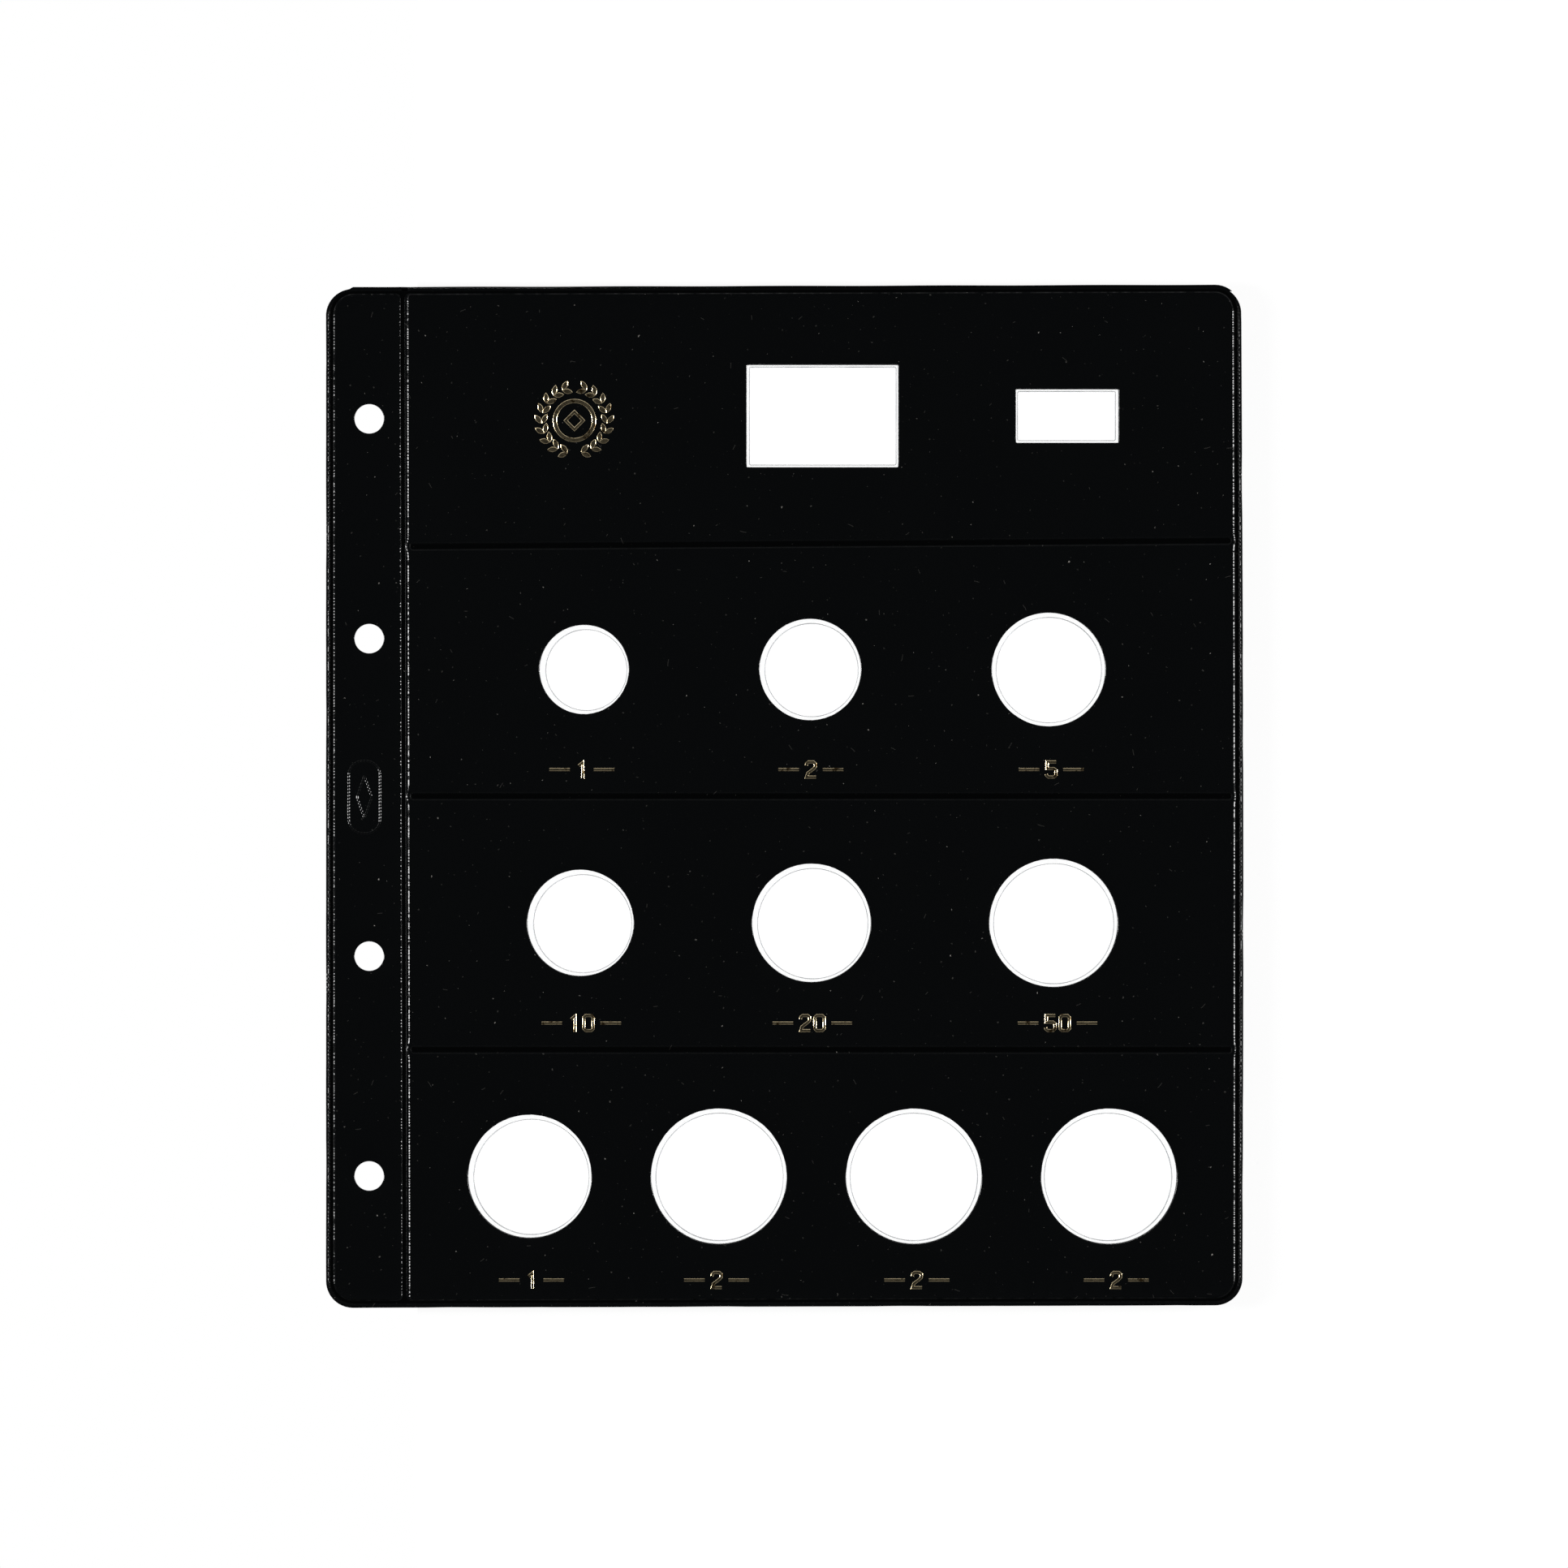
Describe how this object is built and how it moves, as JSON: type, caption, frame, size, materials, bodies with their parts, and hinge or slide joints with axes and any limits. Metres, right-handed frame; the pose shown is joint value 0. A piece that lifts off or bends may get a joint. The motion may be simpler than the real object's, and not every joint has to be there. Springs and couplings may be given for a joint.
{
  "type": "coin album page",
  "caption": "Flat black welded album page for a set of coins: binding margin with ring holes on a fold line, clear windows, and clear coin strips that slide out of pockets in the back.",
  "frame": {"origin": "under the middle of the page, on the surface that it lies on, back down", "axes": "+X across the page, away from the binding margin; +Y up the page; +Z out of its front face"},
  "size_m": [0.1876, 0.209, 0.0039],
  "materials": {
    "black_vinyl": "satin, fine grain",
    "clear_film": "clear, glossy",
    "clear_strip": "clear, glossy"
  },
  "bodies": {
    "pocket_panel": {"front_panel": "black_vinyl", "front_film": "clear_film", "back_film": "clear_film", "back_panel": "black_vinyl"},
    "binding_margin": {"front_margin": "black_vinyl", "back_margin": "black_vinyl"},
    "insert_strip": {"insert_strip": "clear_strip"},
    "coin_strip_upper": {"coin_strip_upper": "clear_strip"},
    "coin_strip_middle": {"coin_strip_middle": "clear_strip"},
    "coin_strip_lower": {"coin_strip_lower": "clear_strip"}
  },
  "joints": [
    {"name": "margin_fold", "type": "hinge", "parent": "pocket_panel", "child": "binding_margin", "pos_m": [-0.07765, 0, 0.0035], "axis": [0, 1, 0], "range_deg": [-90, 90], "stiffness_Nm_per_rad": 0.02},
    {"name": "insert_strip_slide", "type": "slide", "parent": "pocket_panel", "child": "insert_strip", "axis": [1, 0, 0], "range_m": [0, 0.17]},
    {"name": "coin_strip_upper_slide", "type": "slide", "parent": "pocket_panel", "child": "coin_strip_upper", "axis": [1, 0, 0], "range_m": [0, 0.17]},
    {"name": "coin_strip_middle_slide", "type": "slide", "parent": "pocket_panel", "child": "coin_strip_middle", "axis": [1, 0, 0], "range_m": [0, 0.17]},
    {"name": "coin_strip_lower_slide", "type": "slide", "parent": "pocket_panel", "child": "coin_strip_lower", "axis": [1, 0, 0], "range_m": [0, 0.17]}
  ]
}
